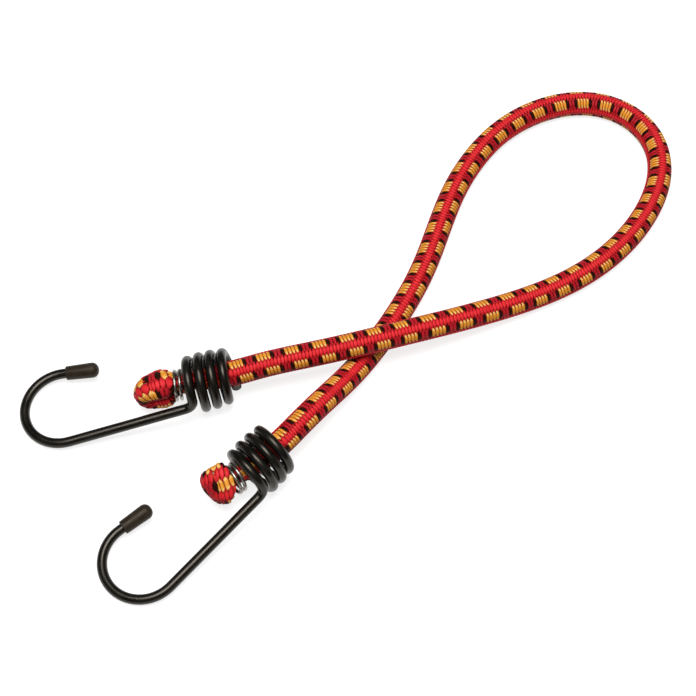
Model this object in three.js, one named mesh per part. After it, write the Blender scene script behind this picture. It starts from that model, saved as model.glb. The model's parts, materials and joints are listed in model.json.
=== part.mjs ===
// A bungee cord: a braided elastic cord with a coated wire hook at each end, lying in a loop on a table.
// Millimetres, +Z up. The origin lies on the table, midway between the two hooks.

import * as THREE from 'three';

const degrees = THREE.MathUtils.degToRad;

// Elastic cord: a braided sleeve round one middle strand of rubber and a ring of strands about it
const CORD_DIAMETER = 8;
const SLEEVE_WALL = 0.6;
const STRANDS_AROUND = 6;
const STRAND_GAP = 0.25;
const CROSSING_GAP = 0.6;

// Hook wire: steel inside a plastic coating
const STEEL_DIAMETER = 2.1;
const COATING_GAP = 0.1;
const COATING_WALL = 0.4;

// Hook coil: winds left-handed along the cord, narrows towards the cord's free run and bulges a little
// at its middle turns
const COIL_PITCH = 3.6;
const COIL_TURNS = 3.78;
const COIL_BACK_CLEARANCE = 1.25;
const COIL_FLARE = 0.7;
const COIL_BULGE = 0.5;

// Shank and open hook
const SHANK_BEND_RADIUS = 3;
const SHANK_LENGTH = 36.4;
const HOOK_RADIUS = 12;
const HOOK_SWEEP = degrees(190);
const TIP_STRAIGHT = 0.9;

// Push-on cap over the hook's tip
const CAP_LENGTH = 10.2;
const CAP_GAP = 0.15;
const CAP_MOUTH_WALL = 0.35;
const CAP_HEAD_WALL = 0.55;
const CAP_END_THICKNESS = 1;
const CAP_HEAD_ROUND = 1.9;

// Crimp ring: two turns of steel wire round the doubled cord, just outside the coil
const RING_WIRE_DIAMETER = 1.1;
const RING_BORE = 7.7;
const RING_TURNS = 2;
const RING_TURN_GAP = 0.45;
const RING_CLEARANCE = 0.35;

// Folded end of the cord: two legs through the crimp ring and a bulb beyond it
const LEG_GAP = 0.5;
const LEG_THICKNESS = 5.4;
const SHOULDER_LENGTH = 1.5;
const SHOULDER_WIDTH = 10.2;
const SHOULDER_THICKNESS = 7;
const BULB_WIDTH = 11.6;
const BULB_THICKNESS = 8;
const TAIL_LENGTH = 1.5;
const TAIL_SPREAD = 1.15;

// Where each coil starts on the table and the way its axis points, from hook to cord.
// The cord leans in its coil: it crosses the coil's axis at CORD_PIVOT and its folded end stands
// off towards the hook's tip and up. The roll is that of the fold's own plane, and the sway is how far
// the head of the soft bulb lies to the side of the ring's axis, towards the hook's tip.
const CORD_PIVOT = 9.5;
const ENDS = {
  a: {
    x: 10.04,
    y: 29.12,
    heading: degrees(13.43),
    leanToTip: degrees(4),
    leanUp: degrees(3.5),
    foldRoll: degrees(80),
    ringToCoil: 3,
    bulbLength: 11.9,
    bulbSway: -1.2,
  },
  b: {
    x: 28.33,
    y: -1.82,
    heading: degrees(46.19),
    leanToTip: degrees(7.6),
    leanUp: degrees(5),
    foldRoll: degrees(25),
    ringToCoil: 2.9,
    bulbLength: 8.8,
    bulbSway: 3.4,
  },
};

// Free run of the cord from coil a to coil b: x, y, and its rise from lying on the table (0)
// to riding over its other run (1)
const ROUTE = [
  [28.6, 33.9, 0.88], [35.8, 35.5, 0.96], [42.9, 37.0, 1], [50.1, 38.7, 1], [57.4, 40.6, 1],
  [64.6, 42.6, 1], [71.8, 44.9, 0.95], [79.3, 47.5, 0.86], [87.0, 50.4, 0.72], [99.3, 55.8, 0.4],
  [109.2, 60.4, 0.15], [116.7, 63.9, 0.03], [126.3, 68.5, 0], [133.3, 72.7, 0], [142.1, 79.7, 0],
  [150.0, 88.3, 0], [156.6, 98.8, 0], [160.2, 107.7, 0], [161.6, 117.4, 0], [159.8, 126.9, 0],
  [154.8, 134.4, 0], [148.1, 139.3, 0], [140.3, 141.6, 0], [132.1, 141.3, 0], [124.1, 139.1, 0],
  [116.5, 135.2, 0], [107.3, 127.8, 0], [99.8, 118.0, 0], [93.8, 107.2, 0], [89.4, 95.5, 0],
  [85.9, 84.4, 0], [82.6, 74.8, 0], [78.4, 65.5, 0], [73.4, 56.2, 0], [67.8, 47.2, 0],
  [62.3, 39.1, 0.03], [57.0, 31.6, 0.25], [53.2, 26.5, 0.52], [49.7, 21.6, 0.76], [46.3, 17.3, 0.86],
  [42.7, 13.3, 0.87],
];

// Facets
const SLEEVE_SIDES = 12;
const BORE_SIDES = 8;
const STRAND_SIDES = 5;
const COATING_SIDES = 8;
const STEEL_SIDES = 5;
const RING_SIDES = 6;
const COIL_STEPS = 14;
const SHANK_BEND_STEPS = 4;
const HOOK_STEPS = 14;
const RING_STEPS = 16;
const FOLD_STEPS = 6;
const SWELL_STEPS = 4;
const CAP_SIDES = 14;
const CAP_ROUND_STEPS = 4;

const cordRadius = CORD_DIAMETER / 2;
const coatingRadius = STEEL_DIAMETER / 2 + COATING_GAP + COATING_WALL;
const coilBackRadius = cordRadius + COIL_BACK_CLEARANCE + coatingRadius;
const coilFrontRadius = coilBackRadius + COIL_FLARE;
const coilLength = COIL_TURNS * COIL_PITCH;

const { lerp } = THREE.MathUtils;
const X = new THREE.Vector3(1, 0, 0);
const Z = new THREE.Vector3(0, 0, 1);

function finish(color, roughness, metalness) {
  return new THREE.MeshStandardMaterial({ color, roughness, metalness });
}

const braid = finish(0xc42a36, 0.85, 0);
const rubber = finish(0xd8c8a4, 0.7, 0);
const steel = finish(0xb9bcc0, 0.3, 1);
const blackCoating = finish(0x15130f, 0.35, 0);
const capPlastic = finish(0x35302a, 0.45, 0);

// Sweeps: a section is drawn at each station, along the station's two directions.
// A direction longer or shorter than 1 stretches or squeezes the section there.
class StationPath extends THREE.Curve {
  constructor(stations) {
    super();
    this.stations = stations;
  }

  getSpacedPoints() {
    return this.stations.map((each) => each.point);
  }

  computeFrenetFrames() {
    const normals = this.stations.map((each) => each.across);
    const binormals = this.stations.map((each) => each.above);
    return { normals, binormals };
  }
}

function station(point, tangent, side, width = 1, height = 1) {
  const along = tangent.clone().normalize();
  const across = side.clone().addScaledVector(along, -side.dot(along)).normalize();
  const above = along.clone().cross(across);
  return { point, across: across.multiplyScalar(width), above: above.multiplyScalar(height) };
}

function sweep(section, stations) {
  const extrudePath = new StationPath(stations);
  return new THREE.ExtrudeGeometry(section, { steps: stations.length - 1, extrudePath });
}

// A regular polygon with a flat side facing down, drawn round a circle of the given radius
function polygon(sides, radius, centreX = 0, centreY = 0) {
  const corner = radius / Math.cos(Math.PI / sides);
  const points = [];
  for (let k = 0; k < sides; k += 1) {
    const angle = (2 * Math.PI * (k + 0.5)) / sides - Math.PI / 2;
    const x = centreX + corner * Math.cos(angle);
    const y = centreY + corner * Math.sin(angle);
    points.push(new THREE.Vector2(x, y));
  }
  return points;
}

function rod(sides, radius, centreX, centreY) {
  return new THREE.Shape(polygon(sides, radius, centreX, centreY));
}

function pipe(sides, radius, boreSides, boreRadius) {
  const section = rod(sides, radius);
  section.holes.push(new THREE.Path(polygon(boreSides, boreRadius)));
  return section;
}

// The least distance between two stretches of a round tube that are not next to each other along it
function printLeastGap(name, stations, radius) {
  const FINE_STEPS = 6;
  const points = [];
  for (let i = 0; i + 1 < stations.length; i += 1) {
    for (let k = 0; k < FINE_STEPS; k += 1) {
      points.push(stations[i].point.clone().lerp(stations[i + 1].point, k / FINE_STEPS));
    }
  }
  const travelled = [0];
  for (let i = 1; i < points.length; i += 1) {
    travelled.push(travelled[i - 1] + points[i].distanceTo(points[i - 1]));
  }
  const apart = 8 * radius;
  let least = Infinity;
  for (let i = 0; i < points.length; i += 1) {
    for (let j = i + 1; j < points.length; j += 1) {
      if (travelled[j] - travelled[i] > apart) {
        least = Math.min(least, points[i].distanceTo(points[j]));
      }
    }
  }
  console.log(`${name}: least gap to itself ${(least - 2 * radius).toFixed(2)} mm`);
}

// Hook wire in its own frame: the coil's axis is +X, from hook to cord, the coil starts at x = 0 and
// the open hook lies in the plane z = 0, with its shank at -Y and its tip at +Y.
const helixSlope = Math.atan2(COIL_PITCH, 2 * Math.PI * coilFrontRadius);
const coilEntryAngle = (SHANK_BEND_RADIUS * (1 - Math.sin(helixSlope))) / coilFrontRadius;
const advance = COIL_PITCH / (2 * Math.PI);
const shankEnd = advance * coilEntryAngle - SHANK_BEND_RADIUS * Math.cos(helixSlope);
const hookReach = SHANK_LENGTH - shankEnd;
const hookCentre = new THREE.Vector3(-hookReach, HOOK_RADIUS - coilFrontRadius, 0);
const capBoreDepth = CAP_LENGTH - CAP_END_THICKNESS;
const tipAngle = Math.PI * 1.5 - HOOK_SWEEP;
const tipDirection = new THREE.Vector3(Math.sin(tipAngle), -Math.cos(tipAngle), 0);

function hookArcPoint(angle) {
  const spoke = new THREE.Vector3(Math.cos(angle), Math.sin(angle), 0);
  return spoke.multiplyScalar(HOOK_RADIUS).add(hookCentre);
}

const tipEnd = hookArcPoint(tipAngle).addScaledVector(tipDirection, TIP_STRAIGHT + capBoreDepth);

function tipAndHookStations() {
  const inPlane = (point, tangent) => station(point, tangent, Z.clone().cross(tangent));
  const stations = [inPlane(tipEnd, tipDirection.clone().negate())];
  for (let i = 0; i <= HOOK_STEPS; i += 1) {
    const angle = tipAngle + (HOOK_SWEEP * i) / HOOK_STEPS;
    const tangent = new THREE.Vector3(-Math.sin(angle), Math.cos(angle), 0);
    stations.push(inPlane(hookArcPoint(angle), tangent));
  }
  return stations;
}

function roundCoil(x, angle, radius) {
  return new THREE.Vector3(x, -radius * Math.cos(angle), radius * Math.sin(angle));
}

function roundward(angle) {
  return new THREE.Vector3(0, Math.sin(angle), Math.cos(angle));
}

function inwards(angle) {
  return new THREE.Vector3(0, Math.cos(angle), -Math.sin(angle));
}

// The shank turns into the coil along the side of the coil's own cylinder
function shankBendStations() {
  const stations = [];
  for (let i = 0; i < SHANK_BEND_STEPS; i += 1) {
    const turned = ((Math.PI / 2 - helixSlope) * i) / SHANK_BEND_STEPS;
    const x = shankEnd + SHANK_BEND_RADIUS * Math.sin(turned);
    const angle = (SHANK_BEND_RADIUS * (1 - Math.cos(turned))) / coilFrontRadius;
    const tangent = roundward(angle).multiplyScalar(Math.sin(turned));
    tangent.addScaledVector(X, Math.cos(turned));
    stations.push(station(roundCoil(x, angle, coilFrontRadius), tangent, inwards(angle)));
  }
  return stations;
}

const coilEndAngle = COIL_TURNS * 2 * Math.PI;

function coilRadius(angle) {
  const part = (angle - coilEntryAngle) / (coilEndAngle - coilEntryAngle);
  return coilFrontRadius - COIL_FLARE * part + COIL_BULGE * Math.sin(Math.PI * part);
}

function coilStations() {
  const steps = Math.round(COIL_TURNS * COIL_STEPS);
  const turnedBy = (coilEndAngle - coilEntryAngle) / steps;
  const stations = [];
  for (let i = 0; i <= steps; i += 1) {
    const angle = coilEntryAngle + turnedBy * i;
    const radius = coilRadius(angle);
    const widening = (coilRadius(angle + turnedBy) - coilRadius(angle - turnedBy)) / (2 * turnedBy);
    const tangent = roundCoil(advance, angle, widening).addScaledVector(roundward(angle), radius);
    stations.push(station(roundCoil(advance * angle, angle, radius), tangent, inwards(angle)));
  }
  return stations;
}

function hookCoating(stations) {
  return sweep(pipe(COATING_SIDES, coatingRadius, COATING_SIDES, coatingRadius - COATING_WALL), stations);
}

function hookWire(stations) {
  const cornerAllowance = Math.cos(Math.PI / STEEL_SIDES);
  return sweep(rod(STEEL_SIDES, (STEEL_DIAMETER / 2) * cornerAllowance), stations);
}

// A cap closed at its head, a little fatter there than at its mouth
function tipCap() {
  const boreRadius = coatingRadius / Math.cos(Math.PI / COATING_SIDES) + CAP_GAP;
  const mouthRadius = boreRadius + CAP_MOUTH_WALL;
  const headRadius = boreRadius + CAP_HEAD_WALL;
  const profile = [
    new THREE.Vector2(0, capBoreDepth),
    new THREE.Vector2(boreRadius, capBoreDepth),
    new THREE.Vector2(boreRadius, 0),
    new THREE.Vector2(mouthRadius, 0),
  ];
  for (let i = 0; i < CAP_ROUND_STEPS; i += 1) {
    const angle = (Math.PI / 2) * (i / CAP_ROUND_STEPS);
    const radius = headRadius - CAP_HEAD_ROUND * (1 - Math.cos(angle));
    profile.push(new THREE.Vector2(radius, CAP_LENGTH - CAP_HEAD_ROUND * (1 - Math.sin(angle))));
  }
  profile.push(new THREE.Vector2(headRadius - CAP_HEAD_ROUND, CAP_LENGTH));
  profile.push(new THREE.Vector2(0, CAP_LENGTH));
  return new THREE.LatheGeometry(profile, CAP_SIDES);
}

function placeCap(cap) {
  cap.quaternion.setFromUnitVectors(new THREE.Vector3(0, 1, 0), tipDirection);
  cap.position.copy(tipEnd).addScaledVector(tipDirection, CAP_GAP - capBoreDepth);
}

// Crimp ring along the same axis, about its own middle, wound the same way as the coil
const ringPitch = RING_WIRE_DIAMETER + RING_TURN_GAP;
const ringHalfLength = (ringPitch * RING_TURNS) / 2;
const ringReach = ringHalfLength + RING_WIRE_DIAMETER / 2;

function crimpRingStations() {
  const radius = RING_BORE / 2 + RING_WIRE_DIAMETER / 2;
  const steps = RING_TURNS * RING_STEPS;
  const stations = [];
  for (let i = 0; i <= steps; i += 1) {
    const angle = (2 * Math.PI * i) / RING_STEPS;
    const x = (ringPitch * i) / RING_STEPS - ringHalfLength;
    const tangent = roundward(angle).multiplyScalar(radius);
    tangent.addScaledVector(X, ringPitch / (2 * Math.PI));
    stations.push(station(roundCoil(x, angle, radius), tangent, inwards(angle)));
  }
  return stations;
}

function crimpRing(stations) {
  return sweep(rod(RING_SIDES, RING_WIRE_DIAMETER / 2), stations);
}

// Folded end of the cord along the same axis, from the tail's cut end, round the bulb, through the
// ring and the coil. Each row: place along the axis, place across the fold, half the width in the
// fold's plane, half the thickness square to it, and how much of the fold's roll is left.
function foldRows({ ringToCoil, bulbLength }) {
  const ringBack = -ringToCoil + ringReach;
  const ringFront = -ringToCoil - ringReach;
  const neckHalf = (RING_BORE / 2 - RING_CLEARANCE - LEG_GAP / 2) / 2;
  const neckAcross = LEG_GAP / 2 + neckHalf;
  const neckThick = LEG_THICKNESS / 2;
  const bulbHalf = (BULB_WIDTH / 2 - LEG_GAP / 2) / 2;
  const bulbAcross = LEG_GAP / 2 + bulbHalf;
  const bulbThick = BULB_THICKNESS / 2;
  const bulbCentre = ringFront - bulbLength + bulbAcross + bulbHalf;
  const shoulder = ringFront - SHOULDER_LENGTH;
  const shoulderHalf = (SHOULDER_WIDTH / 2 - LEG_GAP / 2) / 2;
  const shoulderAcross = LEG_GAP / 2 + shoulderHalf;
  const shoulderThick = SHOULDER_THICKNESS / 2;
  const tailEnd = ringBack + TAIL_LENGTH;
  const tailHalf = neckHalf * TAIL_SPREAD;
  const tailAcross = LEG_GAP / 2 + tailHalf;
  const tailThick = neckThick * TAIL_SPREAD;

  const rows = [
    [tailEnd, -tailAcross, tailHalf, tailThick, 1],
    [ringBack, -neckAcross, neckHalf, neckThick, 1],
    [ringFront, -neckAcross, neckHalf, neckThick, 1],
    [shoulder, -shoulderAcross, shoulderHalf, shoulderThick, 1],
  ];
  for (let i = 0; i <= FOLD_STEPS; i += 1) {
    const angle = Math.PI * (1.5 - i / FOLD_STEPS);
    const x = bulbCentre + bulbAcross * Math.cos(angle);
    rows.push([x, bulbAcross * Math.sin(angle), bulbHalf, bulbThick, 1]);
  }
  rows.push(
    [shoulder, shoulderAcross, shoulderHalf, shoulderThick, 1],
    [ringFront, neckAcross, neckHalf, neckThick, 1],
    [ringBack, neckAcross, neckHalf, neckThick, 1],
    [tailEnd, tailAcross, tailHalf, tailThick, 1],
  );
  for (let i = 1; i <= SWELL_STEPS; i += 1) {
    const part = i / SWELL_STEPS;
    const swell = Math.sin((part * Math.PI) / 2);
    const x = lerp(tailEnd, coilLength, part);
    const halfWidth = lerp(tailHalf, cordRadius, swell);
    const halfThickness = lerp(tailThick, cordRadius, swell);
    rows.push([x, lerp(tailAcross, 0, swell), halfWidth, halfThickness, 1 - part]);
  }
  return rows;
}

function foldPoints(fold, end) {
  const across = new THREE.Vector3(0, Math.cos(end.foldRoll), Math.sin(end.foldRoll));
  const ringFront = -end.ringToCoil - ringReach;
  return foldRows(end).map(([x, offset, halfWidth, halfThickness, rollLeft]) => {
    const roll = end.foldRoll * rollLeft;
    const sway = end.bulbSway * Math.max(0, (ringFront - x) / end.bulbLength);
    const point = new THREE.Vector3(x, sway, 0).addScaledVector(across, offset);
    const up = new THREE.Vector3(0, -Math.sin(roll), Math.cos(roll));
    return {
      point: point.applyMatrix4(fold.matrixWorld),
      up: up.transformDirection(fold.matrixWorld),
      width: halfWidth / cordRadius,
      height: halfThickness / cordRadius,
    };
  });
}

function runPoints() {
  const fullRise = CORD_DIAMETER + CROSSING_GAP;
  return ROUTE.map(([x, y, rise]) => {
    const point = new THREE.Vector3(x, y, cordRadius + rise * fullRise);
    return { point, up: Z, width: 1, height: 1 };
  });
}

function cordStations(startFold, endFold) {
  const points = [...startFold, ...runPoints(), ...endFold.reverse()];
  const curve = new THREE.CatmullRomCurve3(points.map((each) => each.point));
  return points.map(({ point, up, width, height }, i) => {
    const tangent = curve.getTangent(i / (points.length - 1));
    return station(point, tangent, up.clone().cross(tangent), width, height);
  });
}

// Rubber strands fill the sleeve's bore: three strands and two gaps reach from its middle to its wall
const boreRadius = cordRadius - SLEEVE_WALL;
const strandRadius = (boreRadius - 2 * STRAND_GAP) / 3;
const strandCircle = 2 * strandRadius + STRAND_GAP;

function braidedSleeve(stations) {
  return sweep(pipe(SLEEVE_SIDES, cordRadius, BORE_SIDES, boreRadius), stations);
}

function rubberStrand(stations, index) {
  const cornerAllowance = Math.cos(Math.PI / STRAND_SIDES);
  const angle = (2 * Math.PI * index) / STRANDS_AROUND;
  const distance = index < STRANDS_AROUND ? strandCircle : 0;
  const centreX = distance * Math.cos(angle);
  const centreY = distance * Math.sin(angle);
  return sweep(rod(STRAND_SIDES, strandRadius * cornerAllowance, centreX, centreY), stations);
}

// Assembly: each hook lies on the table on its bend and on the first turn of its coil
function named(name, geometry, material) {
  const mesh = new THREE.Mesh(geometry, material);
  mesh.name = name;
  return mesh;
}

const lowestOfFirstTurn = 1.5 * Math.PI;
const restLength = hookReach + HOOK_RADIUS + advance * lowestOfFirstTurn;
const hookTilt = Math.atan2(coilRadius(lowestOfFirstTurn), restLength);
const hookStations = [...tipAndHookStations(), ...shankBendStations(), ...coilStations()];
const ringStations = crimpRingStations();

function hook(letter, { x, y, heading }) {
  const group = new THREE.Group();
  const cap = named(`tip_cap_${letter}`, tipCap(), capPlastic);
  placeCap(cap);
  group.add(named(`hook_wire_${letter}`, hookWire(hookStations), steel));
  group.add(named(`hook_coating_${letter}`, hookCoating(hookStations), blackCoating));
  group.add(cap);
  group.rotation.set(0, -hookTilt, heading, 'ZYX');
  const lowest = new THREE.Box3().setFromObject(group, true).min.z;
  group.position.set(x, y, -lowest);
  return group;
}

function foldWithRing(letter, { leanToTip, leanUp, ringToCoil }) {
  const fold = new THREE.Group();
  const ring = named(`crimp_ring_${letter}`, crimpRing(ringStations), steel);
  ring.position.setX(-ringToCoil);
  fold.add(ring);
  fold.rotation.set(0, leanUp, -leanToTip, 'ZYX');
  fold.position.setX(CORD_PIVOT);
  fold.translateX(-CORD_PIVOT);
  return fold;
}

const bungee = new THREE.Group();
const foldedEnds = Object.entries(ENDS).map(([letter, end]) => {
  const fold = foldWithRing(letter, end);
  bungee.add(hook(letter, end).add(fold));
  bungee.updateMatrixWorld();
  return foldPoints(fold, end);
});

const cord = cordStations(...foldedEnds);
bungee.add(named('braided_sleeve', braidedSleeve(cord), braid));
for (let index = 0; index <= STRANDS_AROUND; index += 1) {
  bungee.add(named(`core_strand_${index + 1}`, rubberStrand(cord, index), rubber));
}

const foldLength = foldedEnds[0].length;
printLeastGap('hook coil', hookStations, coatingRadius);
printLeastGap('crimp ring', ringStations, RING_WIRE_DIAMETER / 2);
printLeastGap('free run of the cord', cord.slice(foldLength, -foldLength), cordRadius);

export default bungee;
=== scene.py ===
"""A bungee cord: a braided elastic cord with a coated wire hook at each end, lying in a loop on a table.

The pieces come in the order in which the cord is put together: rubber core, braided sleeve, crimp rings,
hook wires, their coating and their tip caps. Sizes are in metres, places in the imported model's own frame.
"""

import json
import math

import bmesh
import bpy
import numpy as np
from mathutils import Matrix, Vector


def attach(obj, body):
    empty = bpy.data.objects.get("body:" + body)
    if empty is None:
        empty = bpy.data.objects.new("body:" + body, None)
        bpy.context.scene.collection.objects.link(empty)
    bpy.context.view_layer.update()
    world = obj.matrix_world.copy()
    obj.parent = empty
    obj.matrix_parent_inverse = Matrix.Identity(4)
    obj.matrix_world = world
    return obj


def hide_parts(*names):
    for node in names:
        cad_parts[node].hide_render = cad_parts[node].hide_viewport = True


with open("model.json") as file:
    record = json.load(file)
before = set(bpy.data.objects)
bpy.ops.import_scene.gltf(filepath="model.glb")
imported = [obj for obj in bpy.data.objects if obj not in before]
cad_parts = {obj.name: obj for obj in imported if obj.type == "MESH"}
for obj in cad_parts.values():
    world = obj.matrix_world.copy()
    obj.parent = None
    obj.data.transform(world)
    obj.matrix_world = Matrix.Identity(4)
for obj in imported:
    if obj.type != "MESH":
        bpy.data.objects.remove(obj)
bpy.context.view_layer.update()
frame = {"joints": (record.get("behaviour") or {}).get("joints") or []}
scene = bpy.context.scene


# Camera
# It looks down on the table from in front of the hooks, through a long lens, as a catalogue picture is
# taken, so that the near and the far run of the cord keep nearly the same width.
CAMERA_TARGET = Vector((0.05852, 0.04788, 0))
CAMERA_DISTANCE = 0.632
CAMERA_ELEVATION = math.radians(59)
CAMERA_SENSOR_MM = 36
CAMERA_LENS_MM = 104.28

camera = bpy.data.objects.new("camera", bpy.data.cameras.new("camera"))
camera.data.sensor_width = CAMERA_SENSOR_MM
camera.data.lens = CAMERA_LENS_MM
towards_camera = Vector((0, -math.cos(CAMERA_ELEVATION), math.sin(CAMERA_ELEVATION)))
camera.location = CAMERA_TARGET + CAMERA_DISTANCE * towards_camera
camera.rotation_euler = (math.pi / 2 - CAMERA_ELEVATION, 0, 0)
scene.collection.objects.link(camera)
scene.camera = camera


# Line of the cord
# The elastic cord is doubled back on itself at each end, squeezed flat by a crimp ring, and passes through
# the coil of its hook. Between the hooks it lies in one loop and rides over itself once.
CORD_RADIUS = 0.004
CROSSING_GAP = 0.0006

# The hook's bends, measured to the middle of the wire. The coil narrows by the flare and bulges in between.
COIL_PITCH = 0.0036
COIL_TURNS = 3.78
COIL_FRONT_RADIUS = 0.0075
COIL_FLARE = 0.0007
COIL_BULGE = 0.0005
SHANK_BEND_RADIUS = 0.003
SHANK_LENGTH = 0.0364
HOOK_RADIUS = 0.012

# The cord leans a little in the coil, about a point of its line this far behind the coil's front
CORD_PIVOT = 0.0095

# The crimp ring, and the room between its wire and the cord
RING_WIRE_RADIUS = 0.00055
RING_BORE_RADIUS = 0.00385
RING_PITCH = 0.00155
RING_TURNS = 2
RING_CLEARANCE = 0.00035

# The two legs of the fold. Their gap is negative, because the ring presses the soft legs into each other.
# The tail is the end of the leg that is cut off, and spreads a little once it is past the ring.
HALF_LEG_GAP = -0.0014
LEG_HALF_THICKNESS = 0.0027
SHOULDER_LENGTH = 0.0011
TAIL_LENGTH = 0.0015
TAIL_SPREAD = 1.06
FOLD_STEPS = 12
SWELL_STEPS = 4

# For each end: the hook's heading on the table, how the cord leans in the coil, the roll of the fold's plane
# round the cord, the way from the ring's middle to the coil, and the bulb. The halves of the bulb and of its
# shoulder are measured in the fold's plane and square to it, and the nose has its own share of the latter.
ENDS = {
    "a": {
        "heading": math.radians(13.43),
        "lean_to_tip": math.radians(4),
        "lean_up": math.radians(3.5),
        "fold_roll": math.radians(88),
        "ring_to_coil": 0.003,
        "bulb_length": 0.0119,
        "bulb_sway": -0.0012,
        "bulb_half": (0.0058, 0.0046),
        "nose_share": 0.8,
        "shoulder_half": (0.0056, 0.0043),
    },
    "b": {
        "heading": math.radians(46.19),
        "lean_to_tip": math.radians(7.6),
        "lean_up": math.radians(5),
        "fold_roll": math.radians(115),
        "ring_to_coil": 0.0029,
        "bulb_length": 0.0077,
        "bulb_sway": 0.0036,
        "bulb_half": (0.0044, 0.0060),
        "nose_share": 0.84,
        "shoulder_half": (0.0048, 0.0059),
    },
}

# Free run from coil a to coil b: x, y, and the rise from lying on the table (0) to riding over the other
# run of the cord (1)
ROUTE = [
    (0.0286, 0.0339, 0.88), (0.0358, 0.0355, 0.96), (0.0429, 0.0370, 1), (0.0501, 0.0387, 1),
    (0.0574, 0.0406, 1), (0.0646, 0.0426, 1), (0.0718, 0.0449, 0.95), (0.0793, 0.0475, 0.86),
    (0.0870, 0.0504, 0.72), (0.0993, 0.0558, 0.4), (0.1092, 0.0604, 0.15), (0.1167, 0.0639, 0.03),
    (0.1263, 0.0685, 0), (0.1333, 0.0727, 0), (0.1421, 0.0797, 0), (0.1500, 0.0883, 0),
    (0.1566, 0.0988, 0), (0.1602, 0.1077, 0), (0.1616, 0.1174, 0), (0.1598, 0.1269, 0),
    (0.1548, 0.1344, 0), (0.1481, 0.1393, 0), (0.1403, 0.1416, 0), (0.1321, 0.1413, 0),
    (0.1241, 0.1391, 0), (0.1165, 0.1352, 0), (0.1073, 0.1278, 0), (0.0998, 0.1180, 0),
    (0.0938, 0.1072, 0), (0.0894, 0.0955, 0), (0.0859, 0.0844, 0), (0.0826, 0.0748, 0),
    (0.0784, 0.0655, 0), (0.0734, 0.0562, 0), (0.0678, 0.0472, 0), (0.0623, 0.0391, 0.03),
    (0.0570, 0.0316, 0.25), (0.0532, 0.0265, 0.52), (0.0497, 0.0216, 0.76), (0.0463, 0.0173, 0.86),
    (0.0427, 0.0133, 0.87),
]

coil_length = COIL_TURNS * COIL_PITCH
coil_end_angle = 2 * math.pi * COIL_TURNS
coil_advance = COIL_PITCH / (2 * math.pi)
helix_slope = math.atan2(COIL_PITCH, 2 * math.pi * COIL_FRONT_RADIUS)
coil_entry_angle = SHANK_BEND_RADIUS * (1 - math.sin(helix_slope)) / COIL_FRONT_RADIUS
shank_end = coil_advance * coil_entry_angle - SHANK_BEND_RADIUS * math.cos(helix_slope)
hook_reach = SHANK_LENGTH - shank_end
ring_reach = RING_PITCH * RING_TURNS / 2 + RING_WIRE_RADIUS


def coil_radius(angle):
    """The coil narrows towards the free run of the cord and bulges a little at its middle turns."""
    share = (angle - coil_entry_angle) / (coil_end_angle - coil_entry_angle)
    return COIL_FRONT_RADIUS - COIL_FLARE * share + COIL_BULGE * np.sin(math.pi * share)


# Each hook rests on the table with its crook and with the lowest point of its first turn
lowest_of_first_turn = 1.5 * math.pi
rest_length = hook_reach + HOOK_RADIUS + coil_advance * lowest_of_first_turn
hook_tilt = math.atan2(coil_radius(lowest_of_first_turn), rest_length)

for letter, end in ENDS.items():
    swivel = next(joint for joint in frame["joints"] if joint["child"] == f"hook_{letter}")
    hook_rotation = Matrix.Rotation(end["heading"], 3, "Z") @ Matrix.Rotation(-hook_tilt, 3, "Y")
    lean = Matrix.Rotation(-end["lean_to_tip"], 3, "Z") @ Matrix.Rotation(end["lean_up"], 3, "Y")
    cord_rotation = hook_rotation @ lean
    cord_start = Vector(swivel["pos_m"])
    pivot = Vector((CORD_PIVOT, 0, 0))
    hook_start = cord_start + cord_rotation @ pivot - hook_rotation @ pivot
    end["cord_frame"] = Matrix.Translation(cord_start) @ cord_rotation.to_4x4()
    end["hook_frame"] = Matrix.Translation(hook_start) @ hook_rotation.to_4x4()


def mix(first, second, share):
    return first + (second - first) * share


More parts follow.
